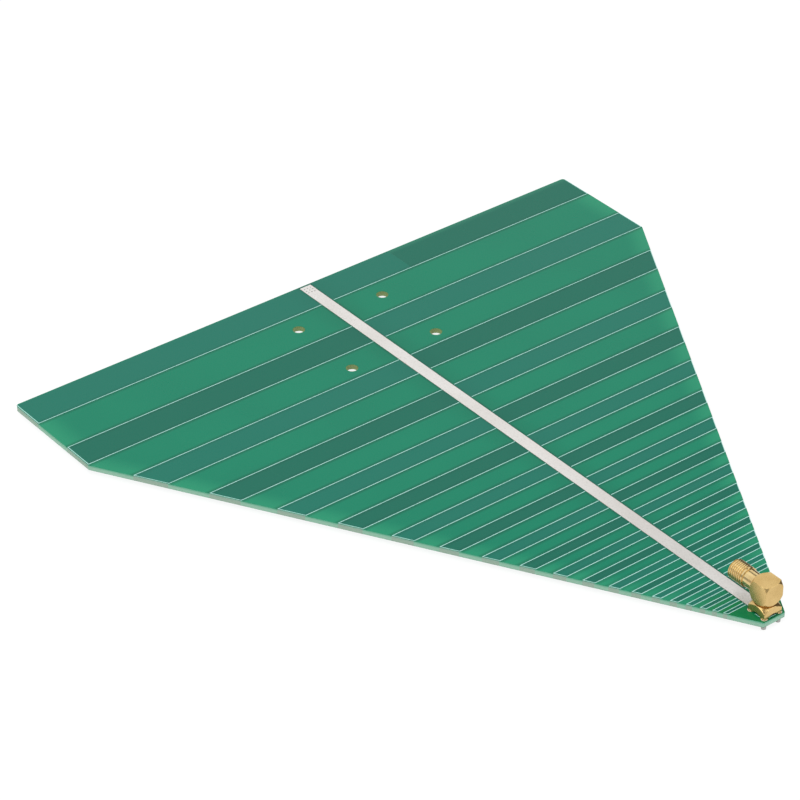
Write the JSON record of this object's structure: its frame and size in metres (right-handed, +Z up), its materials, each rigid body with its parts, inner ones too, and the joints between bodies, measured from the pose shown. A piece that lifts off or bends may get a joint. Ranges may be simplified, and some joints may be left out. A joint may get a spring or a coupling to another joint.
{
  "type": "log-periodic antenna",
  "caption": "Flat arrow-shaped circuit-board antenna with tapering dipoles on both faces, a bare feed strip and a right-angle coaxial jack at the tip.",
  "frame": {"origin": "middle of the bounding box in X and Y, at the ends of the jack's legs, the lowest points", "axes": "+Y runs from the narrow tip with the jack to the wide base edge, +X across the board, +Z up out of the face that carries the jack"},
  "size_m": [0.22, 0.22, 0.0142],
  "materials": {
    "laminate": "routed glass-epoxy edge",
    "foil": "bare copper foil",
    "solder_coat": "levelled solder coat",
    "solder_mask": "glossy green solder mask",
    "legend": "screen-printed white ink",
    "gilt_brass": "gold-plated turned brass",
    "insulator": "turned fluoropolymer",
    "gilt_contact": "gold-plated contact",
    "solder": "reflowed solder"
  },
  "bodies": {
    "root": {"laminate": "laminate", "top_foil": "foil", "bottom_foil": "foil", "top_solder_coat": "solder_coat", "bottom_solder_coat": "solder_coat", "top_solder_mask": "solder_mask", "bottom_solder_mask": "solder_mask", "printed_legend": "legend", "base_vias": "solder_coat", "leg_hole_sleeves": "solder_coat", "jack_body": "gilt_brass", "jack_barrel": "gilt_brass", "barrel_insulator": "insulator", "stem_insulator": "insulator", "centre_contact": "gilt_contact", "upright_pin": "gilt_contact", "leg_solder": "solder", "pin_solder": "solder"}
  },
  "joints": []
}
